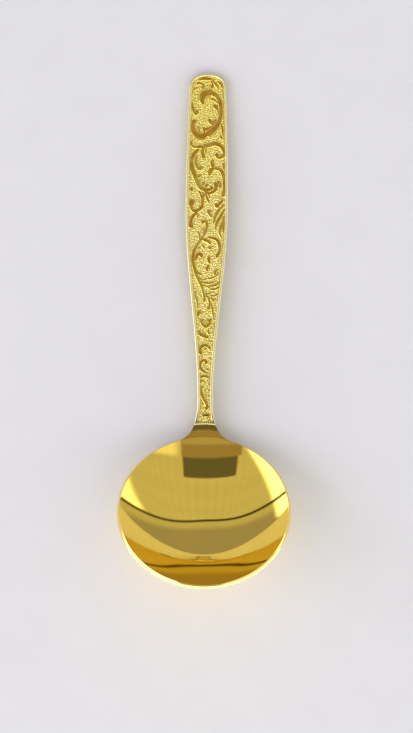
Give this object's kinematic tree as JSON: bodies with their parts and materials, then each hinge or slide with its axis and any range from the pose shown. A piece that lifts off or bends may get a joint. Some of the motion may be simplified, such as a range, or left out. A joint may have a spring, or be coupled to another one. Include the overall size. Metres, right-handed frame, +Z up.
{
  "type": "serving ladle",
  "caption": "Serving ladle with a round shallow bowl, a short flared neck and a long flat handle whose sunk panel sits inside a plain raised border.",
  "frame": {"origin": "middle of the rest flat under the bowl, on the table that the ladle lies on", "axes": "+Z up, +Y along the handle to its tip, +X to the right seen from the bowl's front lip"},
  "size_m": [0.058, 0.1853, 0.027],
  "materials": {
    "polished_gold": "mirror polished gold plate with fine wiping marks",
    "struck_gold": "gold plate, polished border and scrolls on a finely stippled ground",
    "braze": "satin filler metal"
  },
  "bodies": {
    "root": {"bowl": "polished_gold", "handle": "struck_gold", "braze_film": "braze"}
  },
  "joints": []
}
